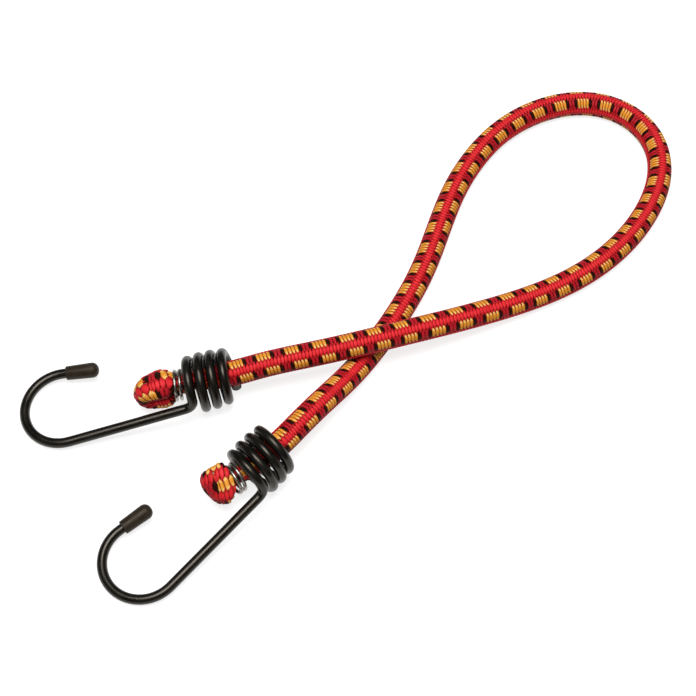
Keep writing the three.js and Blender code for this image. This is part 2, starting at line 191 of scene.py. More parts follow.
def fold_rows(end):
    """The fold from the tail's cut end, round the bulb, through the ring and the coil. Each row holds the
    place along the cord's line, the place across the fold, the half width in the fold's plane, the half
    thickness square to it, and the share of the fold's roll."""
    ring_back = -end["ring_to_coil"] + ring_reach
    ring_front = -end["ring_to_coil"] - ring_reach
    neck_half = (RING_BORE_RADIUS - RING_CLEARANCE - HALF_LEG_GAP) / 2
    bulb_half_width, bulb_thick = end["bulb_half"]
    shoulder_half_width, shoulder_thick = end["shoulder_half"]
    bulb_half = (bulb_half_width - HALF_LEG_GAP) / 2
    bulb_across = HALF_LEG_GAP + bulb_half
    bulb_centre = ring_front - end["bulb_length"] + bulb_across + bulb_half
    tail_end = ring_back + TAIL_LENGTH
    tail_half = neck_half * TAIL_SPREAD
    tail_thick = LEG_HALF_THICKNESS * TAIL_SPREAD
    shoulder_half = (shoulder_half_width - HALF_LEG_GAP) / 2
    leg = [
        (tail_end, tail_half, tail_thick),
        (ring_back, neck_half, LEG_HALF_THICKNESS),
        (ring_front, neck_half, LEG_HALF_THICKNESS),
        (ring_front - SHOULDER_LENGTH, shoulder_half, shoulder_thick),
    ]
    rows = [(x, -HALF_LEG_GAP - half, half, thick, 1) for x, half, thick in leg]
    for step in range(FOLD_STEPS + 1):
        angle = math.pi * (1.5 - step / FOLD_STEPS)
        x = bulb_centre + bulb_across * math.cos(angle)
        thick = bulb_thick * mix(1, end["nose_share"], math.cos(angle) ** 2)
        rows.append((x, bulb_across * math.sin(angle), bulb_half, thick, 1))
    rows += [(x, HALF_LEG_GAP + half, half, thick, 1) for x, half, thick in reversed(leg)]
    for step in range(1, SWELL_STEPS + 1):
        share = step / SWELL_STEPS
        swell = math.sin(share * math.pi / 2)
        x = mix(tail_end, coil_length, share)
        across = mix(HALF_LEG_GAP + tail_half, 0, swell)
        half_width = mix(tail_half, CORD_RADIUS, swell)
        half_thickness = mix(tail_thick, CORD_RADIUS, swell)
        rows.append((x, across, half_width, half_thickness, 1 - share))
    return rows


def fold_stations(end, roll_sign):
    """The fold's rows in the model's frame. Each station holds a point, the direction up, the width and the
    height as shares of the round cord's, the turn that keeps the braid straight, and how free the cord is
    to lie straight."""
    stations = []
    full_roll = end["fold_roll"]
    ring_front = -end["ring_to_coil"] - ring_reach
    for x, across, half_width, half_thickness, roll_left in fold_rows(end):
        sway = end["bulb_sway"] * max(0, (ring_front - x) / end["bulb_length"])
        roll = full_roll * roll_left
        point = Vector((x, sway + across * math.cos(full_roll), across * math.sin(full_roll)))
        up = end["cord_frame"].to_3x3() @ Vector((0, -math.sin(roll), math.cos(roll)))
        width = half_width / CORD_RADIUS
        height = half_thickness / CORD_RADIUS
        place = end["cord_frame"] @ point
        stations.append((*place, *up, width, height, roll * roll_sign, 1 - roll_left))
    return stations


def smooth_line(stations, spacing):
    """Evenly spaced stations on one smooth line through the given ones, with all their values carried along.
    Between two stations the line is a cubic curve that keeps their slopes."""
    fine_steps = 4
    rows = np.array(stations)
    reached = np.concatenate([[0], np.cumsum(np.linalg.norm(np.diff(rows[:, :3], axis=0), axis=1))])
    slopes = np.gradient(rows, reached, axis=0)
    fine = np.linspace(0, reached[-1], fine_steps * int(reached[-1] / spacing))
    left = np.clip(np.searchsorted(reached, fine, side="right") - 1, 0, len(rows) - 2)
    gap = (reached[left + 1] - reached[left])[:, None]
    part = (fine - reached[left])[:, None] / gap
    ease = part * part * (3 - 2 * part)
    lean_out = part * (1 - part) ** 2 * gap
    lean_in = part * part * (part - 1) * gap
    dense = mix(rows[left], rows[left + 1], ease) + lean_out * slopes[left] + lean_in * slopes[left + 1]
    along = np.concatenate([[0], np.cumsum(np.linalg.norm(np.diff(dense[:, :3], axis=0), axis=1))])
    even = np.linspace(0, along[-1], round(along[-1] / spacing) + 1)
    return even, np.stack([np.interp(even, along, column) for column in dense.T], axis=1)


def unit(vectors):
    return vectors / np.linalg.norm(vectors, axis=1, keepdims=True)


# The line is divided by the braid's lay, which is the length of cord in which a yarn goes round once
BRAID_LAY = 0.0086
STEPS_PER_LAY = 56

# A station's values on the free run: upright, full width and height, no turn of the braid, and free to lie
FREE_RUN = (0, 0, 1, 1, 1, 0, 1)

line_step = BRAID_LAY / STEPS_PER_LAY
full_rise = 2 * CORD_RADIUS + CROSSING_GAP
run_stations = [(x, y, CORD_RADIUS + rise * full_rise, *FREE_RUN) for x, y, rise in ROUTE]
cord_stations = [*fold_stations(ENDS["a"], -1), *run_stations, *reversed(fold_stations(ENDS["b"], 1))]
cord_along, cord_rows = smooth_line(cord_stations, line_step)
cord_places = cord_rows[:, :3]
cord_up = cord_rows[:, 3:6]
cord_width, cord_height, cord_turn, cord_free = cord_rows[:, 6:].T

# The cord is too stiff for small kinks, so its free run is evened out over about two diameters
KINK_SMOOTHING = 0.006
KINK_REACH = 3 * KINK_SMOOTHING

reach = np.arange(-KINK_REACH, KINK_REACH, line_step)
weights = np.exp(-((reach / KINK_SMOOTHING) ** 2) / 2)
weights /= weights.sum()
padded = np.pad(cord_places, ((len(reach), len(reach)), (0, 0)), mode="edge")
evened = np.stack([np.convolve(column, weights, mode="same") for column in padded.T], axis=1)
cord_points = mix(cord_places, evened[len(reach):-len(reach)], cord_free[:, None])
cord_tangent = unit(np.gradient(cord_points, axis=0))
cord_side = unit(np.cross(cord_up, cord_tangent))
cord_across = cord_side * cord_width[:, None]
cord_above = np.cross(cord_tangent, cord_side) * cord_height[:, None]


# Rubber core
# A bundle of seven rubber strands runs the whole length of the cord inside the braid and does the
# stretching. They are extruded from pale natural rubber and show only at the two cut ends.
STRAND_RADIUS = 0.00093
STRAND_CIRCLE = 0.002183
STRANDS_AROUND = 6
STRAND_SIDES = 10
STRAND_STRIDE = 12
RUBBER_COLOUR = (0.62, 0.47, 0.26, 1)
RUBBER_DULL = (0.48, 0.34, 0.17, 1)

SURFACE_MAP = "along_and_around"
LIFT = "lift"
SEAM_ANGLE = -2 * math.pi / 3
SEAM_WELD = 1e-7


def add_tube(shape, centres, across, outward, sides, lift=None):
    """Rolls a flat grid up into a tube round the line through the centres. across and outward are the two
    half axes of the oval section at each centre. The seam runs along the tube's underside. lift is a value
    for each centre that the tube's finish can read."""
    half_grid = 0.5
    steps = len(centres) - 1
    grid = bmesh.ops.create_grid(shape, x_segments=steps, y_segments=sides, size=half_grid, calc_uvs=True)
    flat = np.array([corner.co for corner in grid["verts"]])
    station = np.rint((flat[:, 0] + half_grid) * steps).astype(int)
    angle = SEAM_ANGLE + 2 * math.pi * (flat[:, 1] + half_grid)
    swing = across[station] * np.cos(angle)[:, None] + outward[station] * np.sin(angle)[:, None]
    for corner, place in zip(grid["verts"], centres[station] + swing):
        corner.co = place
    if lift is not None:
        layer = shape.verts.layers.float[LIFT]
        for corner, value in zip(grid["verts"], lift[station]):
            corner[layer] = value
    bmesh.ops.remove_doubles(shape, verts=grid["verts"], dist=SEAM_WELD)


def new_shape():
    shape = bmesh.new()
    shape.loops.layers.uv.new(SURFACE_MAP)
    return shape


def close_ends(shape):
    rims = [edge for edge in shape.edges if edge.is_boundary]
    bmesh.ops.holes_fill(shape, edges=rims, sides=0)


def piece(name, shape, finish, body, slot, *nodes):
    """Makes a shape a piece of the object, which rides on a body and stands for the CAD nodes. Faces with
    more than four corners are cut ends and stay flat."""
    bmesh.ops.recalc_face_normals(shape, faces=shape.faces)
    for face in shape.faces:
        face.smooth = len(face.verts) <= 4
    mesh = bpy.data.meshes.new(name)
    shape.to_mesh(mesh)
    shape.free()
    mesh.materials.append(finish)
    made = bpy.data.objects.new(name, mesh)
    scene.collection.objects.link(made)
    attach(made, body)
    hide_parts(*nodes)
    return made


def effect(name, inputs, outputs):
    """An empty shader group with named sockets. Inputs are given with their kind and default."""
    group = bpy.data.node_groups.new(name, "ShaderNodeTree")
    for label, kind, default in inputs:
        socket = group.interface.new_socket(label, in_out="INPUT", socket_type=kind)
        socket.default_value = default
    for label, kind in outputs:
        group.interface.new_socket(label, in_out="OUTPUT", socket_type=kind)
    return group, group.nodes.new("NodeGroupInput"), group.nodes.new("NodeGroupOutput")


def feed(tree, socket, value):
    """Links a socket to the one given, or sets it to a plain value."""
    if isinstance(value, bpy.types.NodeSocket):
        tree.links.new(value, socket)
    else:
        socket.default_value = value


def scaled_noise(tree, coordinates, scale, detail):
    """A noise pattern over coordinates, with its own scale along each of the three."""
    mapping = tree.nodes.new("ShaderNodeMapping")
    mapping.inputs["Scale"].default_value = scale
    tree.links.new(coordinates, mapping.inputs["Vector"])
    noise = tree.nodes.new("ShaderNodeTexNoise")
    noise.inputs["Scale"].default_value = 1
    noise.inputs["Detail"].default_value = detail
    tree.links.new(mapping.outputs["Vector"], noise.inputs["Vector"])
    return noise.outputs["Fac"]


def ranged(tree, value, old_range, new_range):
    """A value brought from one range to another and held inside it."""
    node = tree.nodes.new("ShaderNodeMapRange")
    tree.links.new(value, node.inputs["Value"])
    for label, limit in zip(("From Min", "From Max", "To Min", "To Max"), (*old_range, *new_range)):
        feed(tree, node.inputs[label], limit)
    return node.outputs["Result"]


def blended(tree, share, first, second):
    """Two colours mixed by a share."""
    node = tree.nodes.new("ShaderNodeMix")
    node.data_type = "RGBA"
    for label, value in (("Factor_Float", share), ("A_Color", first), ("B_Color", second)):
        tree.links.new(value, next(each for each in node.inputs if each.identifier == label))
    return next(each for each in node.outputs if each.identifier == "Result_Color")


COLOUR = "NodeSocketColor"
VALUE = "NodeSocketFloat"
EFFECT_OUTPUTS = [("Colour", COLOUR), ("Roughness", VALUE), ("Height", VALUE)]

# Of a noise pattern: how many spots there are in a metre, and between which of its values it takes effect
SKIN_CLOUDS = (260, 260, 260)
SKIN_GRAINS = (5200, 5200, 5200)
CLOUDS_DULL = (0.4, 0.68)
CLOUDS_ROUGHEN = (0.35, 0.65)


def moulded_skin():
    """Rubber or plastic skin: soft clouds of dulled colour, a fine grain and a slightly uneven gloss."""
    inputs = [
        ("Colour", COLOUR, (0.5, 0.5, 0.5, 1)),
        ("Dull colour", COLOUR, (0.4, 0.4, 0.4, 1)),
        ("Least roughness", VALUE, 0.4),
        ("Most roughness", VALUE, 0.6),
    ]
    group, given, made = effect("moulded_skin", inputs, EFFECT_OUTPUTS)
    place = group.nodes.new("ShaderNodeTexCoord").outputs["Object"]
    clouds = scaled_noise(group, place, SKIN_CLOUDS, detail=3)
    grain = scaled_noise(group, place, SKIN_GRAINS, detail=2)
    share = ranged(group, clouds, CLOUDS_DULL, (0, 1))
    colour = blended(group, share, given.outputs["Colour"], given.outputs["Dull colour"])
    limits = (given.outputs["Least roughness"], given.outputs["Most roughness"])
    group.links.new(colour, made.inputs["Colour"])
    group.links.new(ranged(group, clouds, CLOUDS_ROUGHEN, limits), made.inputs["Roughness"])
    group.links.new(grain, made.inputs["Height"])
    return group


def finish_with(name, group, values, bump_depth, bump_strength):
    """A material whose colour, roughness and bump come from one effect group, and its shader."""
    material = bpy.data.materials.new(name)
    material.use_nodes = True
    tree = material.node_tree
    shader = tree.nodes["Principled BSDF"]
    effect_node = tree.nodes.new("ShaderNodeGroup")
    effect_node.node_tree = group
    for label, value in values.items():
        effect_node.inputs[label].default_value = value
    bump = tree.nodes.new("ShaderNodeBump")
    bump.inputs["Distance"].default_value = bump_depth
    bump.inputs["Strength"].default_value = bump_strength
    tree.links.new(effect_node.outputs["Colour"], shader.inputs["Base Color"])
    tree.links.new(effect_node.outputs["Roughness"], shader.inputs["Roughness"])
    tree.links.new(effect_node.outputs["Height"], bump.inputs["Height"])
    tree.links.new(bump.outputs["Normal"], shader.inputs["Normal"])
    return material, shader


skin = moulded_skin()
rubber_values = {
    "Colour": RUBBER_COLOUR,
    "Dull colour": RUBBER_DULL,
    "Least roughness": 0.6,
    "Most roughness": 0.8,
}
rubber, _ = finish_with("natural_rubber", skin, rubber_values, bump_depth=0.00004, bump_strength=0.5)

strand_points = cord_points[::STRAND_STRIDE]
strand_across = cord_across[::STRAND_STRIDE]
strand_above = cord_above[::STRAND_STRIDE]
for number in range(1, STRANDS_AROUND + 2):
    angle = 2 * math.pi * (number - 1) / STRANDS_AROUND
    circle = STRAND_CIRCLE if number <= STRANDS_AROUND else 0
    centres = strand_points + circle * (math.cos(angle) * strand_across + math.sin(angle) * strand_above)
    strand = new_shape()
    add_tube(strand, centres, STRAND_RADIUS * strand_across, STRAND_RADIUS * strand_above, STRAND_SIDES)
    close_ends(strand)
    node = f"core_strand_{number}"
    piece(f"rubber_strand_{number}", strand, rubber, "cord", "core_rubber", node)


# Braided sleeve
# Sixteen flat yarns of glossy filament, eight wound each way, each passing over two and under two. One hand
# is all red. The other has four yellow-orange yarns, then a black, two red and a black, which makes the
# blocks of colour.
YARNS_EACH_WAY = 8
YARN_RISE = 0.00016
YARN_HALF_HEIGHT = 0.00017
YARN_SIDES = 6

# A yarn's floats, the stretches that lie on top: how many in a turn, where they start in the over and under,
# and how far they are drawn straight across the cord
FLOATS_PER_TURN = 4
FLOAT_PHASE = math.pi / 4
FLOAT_STRAIGHTENING = 0.95

# The share of its room that a yarn fills, from its lowest place in the braid (-1) upwards. It is narrowest
# where it dives under the others, which makes the teeth between the colours. The crown (1) has its own fill.
TOOTH_FILL = {-1: 1, -0.5: 0.95, -0.2: 0.75, 0: 0.56, 0.3: 0.74, 0.6: 0.95}

# At shares of the cord's length: how far the braid is turned round the cord and how far it is drawn along
# it, which sets the places of the blocks of colour
TWIST_AT = {
    0: math.radians(24),
    0.46: math.radians(-2),
    0.53: math.radians(-1),
    0.63: math.radians(-13),
    1: math.radians(-43),
}
DRAWN_AT = {
    0: 0.0012, 0.22: 0.0012, 0.3: -0.0018, 0.385: 0.0002, 0.44: 0.0042, 0.5: 0.0055,
    0.58: 0.0064, 0.68: 0.0065, 0.76: 0.0075, 0.9: 0.0061, 1: 0.0061,
}

# In the folds the braid is turned and slipped along further, and gathers on the outside of the bend. Its
# yarns lie flatter there and fill their room.
FOLD_TWIST = {"a": math.radians(-8), "b": math.radians(46)}
FOLD_SLIP = {"a": 0.0046, "b": -0.0081}
FOLD_GATHER = {"a": 0, "b": 0.4}
FILL_IN_FOLD = 0.95
FLATTENED_IN_FOLD = 0.45

# How soon the braid is darkened inside the coil: painted shade under the coil's turns, which also stands for
# the coating's rubbing
COIL_SHADE_AND_RUB = 6

# Of each yarn: its colour, a deeper colour between its fibres, a painted tip colour (highlight on the yellow
# yarns, shade on the red ones), and painted shade for its sides and low places
YARN_COLOURS = {
    "ground": {
        "Colour": (0.96, 0.035, 0.046, 1),
        "Deep colour": (0.60, 0.007, 0.012, 1),
        "Painted tip light and shade": (0.45, 0.005, 0.009, 1),
        "Painted groove shade": (0.36, 0.003, 0.007, 1),
    },
    # A darker copy of the ground's red: partly the yarns' own tone, partly painted shade of the columns
    # beside the lit spine
    "red": {
        "Colour": (0.62, 0.012, 0.026, 1),
        "Deep colour": (0.38, 0.005, 0.011, 1),
        "Painted tip light and shade": (0.45, 0.007, 0.015, 1),
        "Painted groove shade": (0.30, 0.003, 0.007, 1),
    },
    "yellow": {
        "Colour": (0.98, 0.43, 0.052, 1),
        "Deep colour": (0.68, 0.23, 0.017, 1),
        "Painted tip light and shade": (1, 0.66, 0.20, 1),
        "Painted groove shade": (0.55, 0.055, 0.012, 1),
    },
    "black": {
        "Colour": (0.028, 0.006, 0.002, 1),
        "Deep colour": (0.015, 0.003, 0.001, 1),
        "Painted tip light and shade": (0.03, 0.006, 0.002, 1),
        "Painted groove shade": (0.012, 0.002, 0.001, 1),
    },
}
YARN_SPECULAR = {"ground": 0.2, "red": 0.2, "yellow": 0.1, "black": 0.06}
BRAID_PIECES = {
    "ground": {"colour": "ground", "hand": -1, "numbers": (0, 2, 4, 6), "crown_fill": 1.2},
    "second_ground": {"colour": "ground", "hand": -1, "numbers": (1, 3, 5, 7), "crown_fill": 1.2},
    "red": {"colour": "red", "hand": 1, "numbers": (0, 1), "crown_fill": 1.05},
    "black": {"colour": "black", "hand": 1, "numbers": (2, 7), "crown_fill": 1.3},
    "yellow": {"colour": "yellow", "hand": 1, "numbers": (3, 4, 5, 6), "crown_fill": 1.05},
}

share_along = cord_along / cord_along[-1]
in_fold = 1 - cord_free
nearer_a = share_along < 0.5


def at_nearer_end(values):
    return np.where(nearer_a, values["a"], values["b"])


middle_radius = CORD_RADIUS - YARN_RISE - YARN_HALF_HEIGHT
yarn_rise = YARN_RISE * (1 - FLATTENED_IN_FOLD * in_fold)
yarn_half_height = YARN_HALF_HEIGHT * np.sqrt(cord_width * cord_height)
flatness = (cord_height - cord_width) / (cord_height + cord_width)
# Painted shade inside the coil, which also stands for the coating's rubbing
coil_shade_and_rub = np.clip(COIL_SHADE_AND_RUB * cord_free * (1 - cord_free), 0, 1)

fold_twist = at_nearer_end(FOLD_TWIST) * in_fold
braid_twist = np.interp(share_along, list(TWIST_AT), list(TWIST_AT.values())) + fold_twist

drawn_along = np.interp(share_along, list(DRAWN_AT), list(DRAWN_AT.values()))
fold_slip = at_nearer_end(FOLD_SLIP) * in_fold
bend = np.linalg.norm(np.gradient(cord_tangent, cord_along, axis=0), axis=1)
gather = at_nearer_end(FOLD_GATHER) * (in_fold == 1)
outside_stretch = gather * bend * CORD_RADIUS * cord_width
round_folds = np.cumsum(outside_stretch * np.gradient(cord_along))
round_folds -= round_folds[len(round_folds) // 2]
braid_along = cord_along + drawn_along + fold_slip + round_folds
local_lay = BRAID_LAY / np.gradient(braid_along, cord_along)


def add_yarn(shape, number, hand, crown_fill):
    """One yarn from cut end to cut end. hand is 1 for a yarn that winds from side to above, -1 for the
    other. It goes up and down in a wave with flattened crests, and spreads evenly round a squeezed cord."""
    wound = 2 * math.pi * (number / YARNS_EACH_WAY + hand * braid_along / BRAID_LAY)
    float_angle = FLOATS_PER_TURN * wound - FLOAT_PHASE
    over = -hand * np.cos(float_angle)
    drawn = FLOAT_STRAIGHTENING * local_lay / (2 * math.pi * FLOATS_PER_TURN) * np.sin(float_angle)
    radius = (middle_radius + yarn_rise * (1.5 * over - 0.5 * over**3))[:, None]
    angle = wound + braid_twist + cord_turn
    angle -= flatness / 2 * np.sin(2 * angle)
    cosine = np.cos(angle)[:, None]
    sine = np.sin(angle)[:, None]
    spoke = cosine * cord_across + sine * cord_above
    round_rate = np.gradient(braid_twist + cord_turn, cord_along)[:, None]
    lengthwise = np.gradient(cord_points, cord_along, axis=0)
    lengthwise += radius * cosine * np.gradient(cord_across, cord_along, axis=0)
    lengthwise += radius * sine * np.gradient(cord_above, cord_along, axis=0)
    lengthwise += radius * round_rate * (cosine * cord_above - sine * cord_across)
    centres = cord_points + radius * spoke + drawn[:, None] * lengthwise
    tangent = unit(np.gradient(centres, axis=0))
    outward = cosine * cord_across / cord_width[:, None] ** 2 + sine * cord_above / cord_height[:, None] ** 2
    outward = unit(outward - tangent * np.sum(outward * tangent, axis=1, keepdims=True))
    across = np.cross(tangent, outward)
    spacing = np.abs(np.sum(lengthwise * across, axis=1)) * local_lay / YARNS_EACH_WAY
    fill = np.interp(over, [*TOOTH_FILL, 1], [*TOOTH_FILL.values(), crown_fill])
    fill = mix(fill, np.maximum(fill, FILL_IN_FOLD), in_fold)
    across *= (fill * spacing / 2)[:, None]
    outward *= yarn_half_height[:, None]
    # Inside the coil the lift is drawn down to -1, which paints the yarn in its groove shade
    add_tube(shape, centres, across, outward, YARN_SIDES, mix(over, -1, coil_shade_and_rub))


# Of the yarn's surface map: fibres and paler stretches along and around it, and where its crown lies
FIBRES = (160, 26, 1)
STRETCHES = (420, 1.5, 1)
CROWN_ON_MAP = (math.pi / 2 - SEAM_ANGLE) / (2 * math.pi)

# Ranges in which the fibres, the stretches, the way from the crown and the lift take effect, and how much.
# The way from the crown sets painted shade on the yarn's sides. The lift sets a painted tip colour, a
# highlight on the yellow yarns and shade on the red ones, and painted shade where the yarn lies low.
FIBRES_DEEPEN = (0.32, 0.62)
FIBRES_ROUGHEN = (0.3, 0.7)
FIBRE_ROUGHNESS = (0.65, 0.48)
STRETCHES_DEEPEN = (0.3, 0.7)
STRETCH_SHADE = (0, 0.35)
EDGE_FROM_CROWN = (0.1, 0.24)
EDGE_SHADE = (0, 0.6)
TIP_LIFT = (0.8, 0.3)
TIP_SHADE = (0, 0.8)
SUNK_SHADE_LIFT = (0.12, -0.35)


def worked_out(tree, operation, *values):
    """The result of one sum on sockets or plain values."""
    node = tree.nodes.new("ShaderNodeMath")
    node.operation = operation
    for socket, value in zip(node.inputs, values):
        feed(tree, socket, value)
    return node.outputs["Value"]


def yarn_fibres():
    """Filament yarn: fine fibres along the yarn, darker between them, with paler and deeper stretches.
    Painted shade darkens its sides, the places where it dives into the braid, and the stretch inside the
    coil, where it also stands for the coating's rubbing. Its tips get a painted colour: a highlight on the
    yellow yarns, shade on the red ones."""
    inputs = [
        ("Colour", COLOUR, (0.6, 0, 0, 1)),
        ("Deep colour", COLOUR, (0.3, 0, 0, 1)),
        ("Painted tip light and shade", COLOUR, (0.5, 0, 0, 1)),
        ("Painted groove shade", COLOUR, (0.1, 0, 0, 1)),
    ]
    group, given, made = effect("yarn_fibres", inputs, EFFECT_OUTPUTS)
    surface_node = group.nodes.new("ShaderNodeUVMap")
    surface_node.uv_map = SURFACE_MAP
    surface = surface_node.outputs["UV"]
    lift_node = group.nodes.new("ShaderNodeAttribute")
    lift_node.attribute_name = LIFT
    lift = lift_node.outputs["Fac"]
    fibres = scaled_noise(group, surface, FIBRES, detail=2)
    stretches = scaled_noise(group, surface, STRETCHES, detail=1)
    depth = ranged(group, fibres, FIBRES_DEEPEN, (0, 1))
    fibre_colour = blended(group, depth, given.outputs["Deep colour"], given.outputs["Colour"])
    shade = ranged(group, stretches, STRETCHES_DEEPEN, STRETCH_SHADE)
    open_colour = blended(group, shade, fibre_colour, given.outputs["Deep colour"])
    # Painted highlight at the tips of the yellow yarns and painted shade at those of the red ones, as they
    # dive from the crown
    tip_light_share = ranged(group, lift, TIP_LIFT, TIP_SHADE)
    float_colour = blended(group, tip_light_share, open_colour, given.outputs["Painted tip light and shade"])
    around = group.nodes.new("ShaderNodeSeparateXYZ")
    group.links.new(surface, around.inputs["Vector"])
    off_crown = worked_out(group, "SUBTRACT", around.outputs["Y"], CROWN_ON_MAP)
    # Painted shade on the yarn's sides, growing away from its crown
    edge = ranged(group, worked_out(group, "ABSOLUTE", off_crown), EDGE_FROM_CROWN, EDGE_SHADE)
    edge_shaded_colour = blended(group, edge, float_colour, given.outputs["Painted groove shade"])
    # Painted shade where the yarn lies low in the braid and inside the coil
    sunk_shade = ranged(group, lift, SUNK_SHADE_LIFT, (0, 1))
    colour = blended(group, sunk_shade, edge_shaded_colour, given.outputs["Painted groove shade"])
    group.links.new(colour, made.inputs["Colour"])
    group.links.new(ranged(group, fibres, FIBRES_ROUGHEN, FIBRE_ROUGHNESS), made.inputs["Roughness"])
    group.links.new(fibres, made.inputs["Height"])
    return group


fibre_effect = yarn_fibres()
yarn_finishes = {}
for colour, values in YARN_COLOURS.items():
    finish, shader = finish_with(
        f"{colour}_yarn",
        fibre_effect,
        values,
        bump_depth=0.00005,
        bump_strength=0.7,
    )
    shader.inputs["Specular IOR Level"].default_value = YARN_SPECULAR[colour]
    yarn_finishes[colour] = finish

for name, kind in BRAID_PIECES.items():
    yarns = new_shape()
    yarns.verts.layers.float.new(LIFT)
    for number in kind["numbers"]:
        add_yarn(yarns, number, kind["hand"], kind["crown_fill"])
    close_ends(yarns)
    finish = yarn_finishes[kind["colour"]]
    piece(f"braid_{name}_yarns", yarns, finish, "cord", "braid", "braided_sleeve")


# Crimp rings
# Two turns of bright galvanised wire, closed tightly round the two legs of the fold, so that the bulb can't
# pull back through the coil.
RING_START = math.radians(-90)
RING_STEPS_PER_TURN = 56
RING_SIDES = 14
ZINC_COLOUR = (0.44, 0.41, 0.37, 1)
ZINC_DULL = (0.15, 0.135, 0.115, 1)

# Drawn wire: lines along and around it, patches in a metre, and the ranges in which the patches take effect
DRAWN_LINES = (6, 40, 1)
METAL_PATCHES = (900, 900, 900)
PATCHES_DULL = (0.42, 0.68)
PATCH_SHADE = (0, 0.8)
PATCHES_ROUGHEN = (0.35, 0.7)
PATCH_ROUGHNESS = (0.2, 0.42)


def drawn_metal():
    """Drawn wire: fine lines along it, and larger dull patches."""
    inputs = [("Colour", COLOUR, (0.7, 0.7, 0.7, 1)), ("Dull colour", COLOUR, (0.4, 0.4, 0.4, 1))]
    group, given, made = effect("drawn_metal", inputs, EFFECT_OUTPUTS)
    surface = group.nodes.new("ShaderNodeUVMap")
    surface.uv_map = SURFACE_MAP
    lines = scaled_noise(group, surface.outputs["UV"], DRAWN_LINES, detail=3)
    place = group.nodes.new("ShaderNodeTexCoord").outputs["Object"]
    patches = scaled_noise(group, place, METAL_PATCHES, detail=3)
    share = ranged(group, patches, PATCHES_DULL, PATCH_SHADE)
    colour = blended(group, share, given.outputs["Colour"], given.outputs["Dull colour"])
    group.links.new(colour, made.inputs["Colour"])
    group.links.new(ranged(group, patches, PATCHES_ROUGHEN, PATCH_ROUGHNESS), made.inputs["Roughness"])
    group.links.new(lines, made.inputs["Height"])
    return group


metal = drawn_metal()
zinc_values = {"Colour": ZINC_COLOUR, "Dull colour": ZINC_DULL}
zinc, shader = finish_with("galvanised_wire", metal, zinc_values, bump_depth=0.00004, bump_strength=0.4)
shader.inputs["Metallic"].default_value = 1


def round_coil(x, angle, radius):
    """A point on a coil round the X axis, which starts at -Y and winds up towards +Z."""
    return np.stack([x, -radius * np.cos(angle), radius * np.sin(angle)], axis=1)


def add_wire(shape, matrix, points, outward, radius, sides):
    """A round wire along points, given with their outward directions in a hook's or ring's own frame."""
    turned = np.array(matrix.to_3x3())
    centres = points @ turned.T + np.array(matrix.translation)
    tangent = unit(np.gradient(centres, axis=0))
    outward = outward @ turned.T
    outward = unit(outward - tangent * np.sum(outward * tangent, axis=1, keepdims=True))
    add_tube(shape, centres, np.cross(tangent, outward) * radius, outward * radius, sides)


ring_turned = np.linspace(0, 2 * math.pi * RING_TURNS, RING_TURNS * RING_STEPS_PER_TURN + 1)
ring_places = RING_PITCH * (ring_turned / (2 * math.pi) - RING_TURNS / 2)
ring_angles = ring_turned + RING_START
ring_outward = round_coil(0 * ring_angles, ring_angles, 1)
for letter, end in ENDS.items():
    ring = new_shape()
    points = round_coil(ring_places - end["ring_to_coil"], ring_angles, RING_BORE_RADIUS + RING_WIRE_RADIUS)
    add_wire(ring, end["cord_frame"], points, ring_outward, RING_WIRE_RADIUS, RING_SIDES)
    close_ends(ring)
    piece(f"crimp_wire_{letter}", ring, zinc, "cord", "galvanised_steel", f"crimp_ring_{letter}")


# Hook wires
# One length of hard-drawn steel wire for each hook, bent into the open hook, the straight shank and the coil
# that goes round the cord. Only its sheared end shows, at the last turn of the coil.
WIRE_RADIUS = 0.00105
WIRE_SIDES = 12
HOOK_SWEEP = math.radians(190)
TIP_STRAIGHT = 0.0009
CAP_LENGTH = 0.0102
CAP_END_THICKNESS = 0.001
STEPS_PER_TURN = 64
SHANK_STEPS = 12
BEND_STEPS = 16
STEEL_COLOUR = (0.07, 0.068, 0.065, 1)
STEEL_DULL = (0.035, 0.034, 0.032, 1)

# The crook meets the shank at three quarters of a turn
tip_angle = 1.5 * math.pi - HOOK_SWEEP
tip_direction = np.array([math.sin(tip_angle), -math.cos(tip_angle), 0])
cap_bore_depth = CAP_LENGTH - CAP_END_THICKNESS


